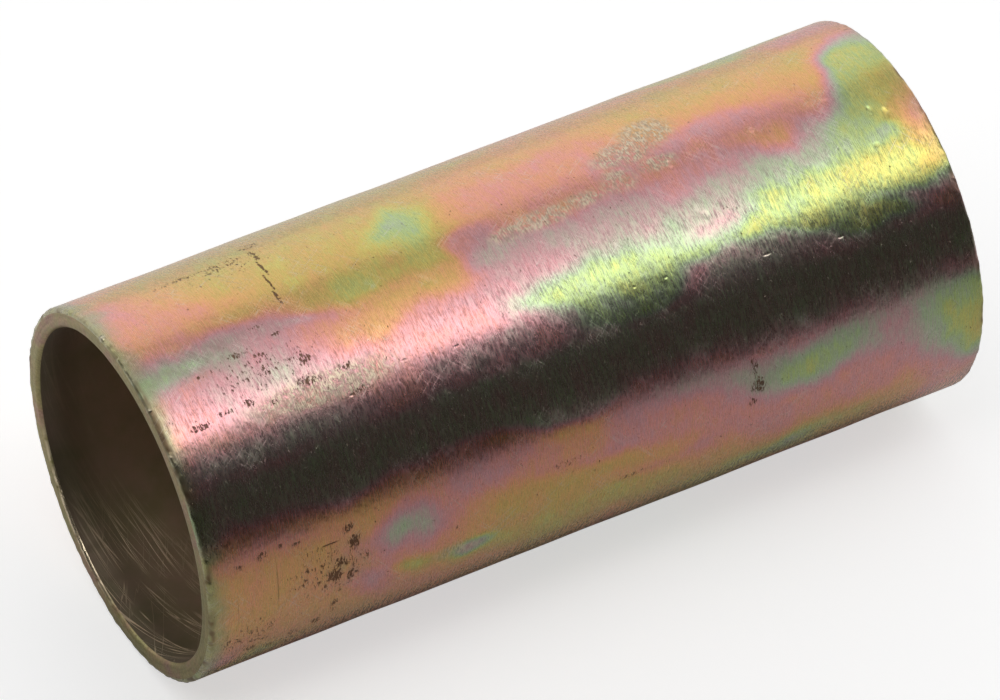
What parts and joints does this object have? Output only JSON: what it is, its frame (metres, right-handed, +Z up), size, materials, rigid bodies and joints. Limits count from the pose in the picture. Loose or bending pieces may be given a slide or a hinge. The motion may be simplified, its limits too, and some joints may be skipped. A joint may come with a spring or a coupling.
{
  "type": "sleeve coupling",
  "caption": "Plain one-piece steel sleeve with a straight through bore and lightly rounded ends, yellow zinc plated; slides over two shaft or pin ends to join or bush them.",
  "frame": {"origin": "middle of the bore, halfway between the two end faces", "axes": "+X along the bore axis, +Z up with the sleeve lying on its side; the sleeve is the same all round X and from end to end"},
  "size_m": [0.0636, 0.0286, 0.0286],
  "materials": {
    "yellow_zinc_steel": "yellow iridescent zinc passivate over turned steel tube, semi-bright"
  },
  "bodies": {
    "root": {"sleeve": "yellow_zinc_steel"}
  },
  "joints": []
}
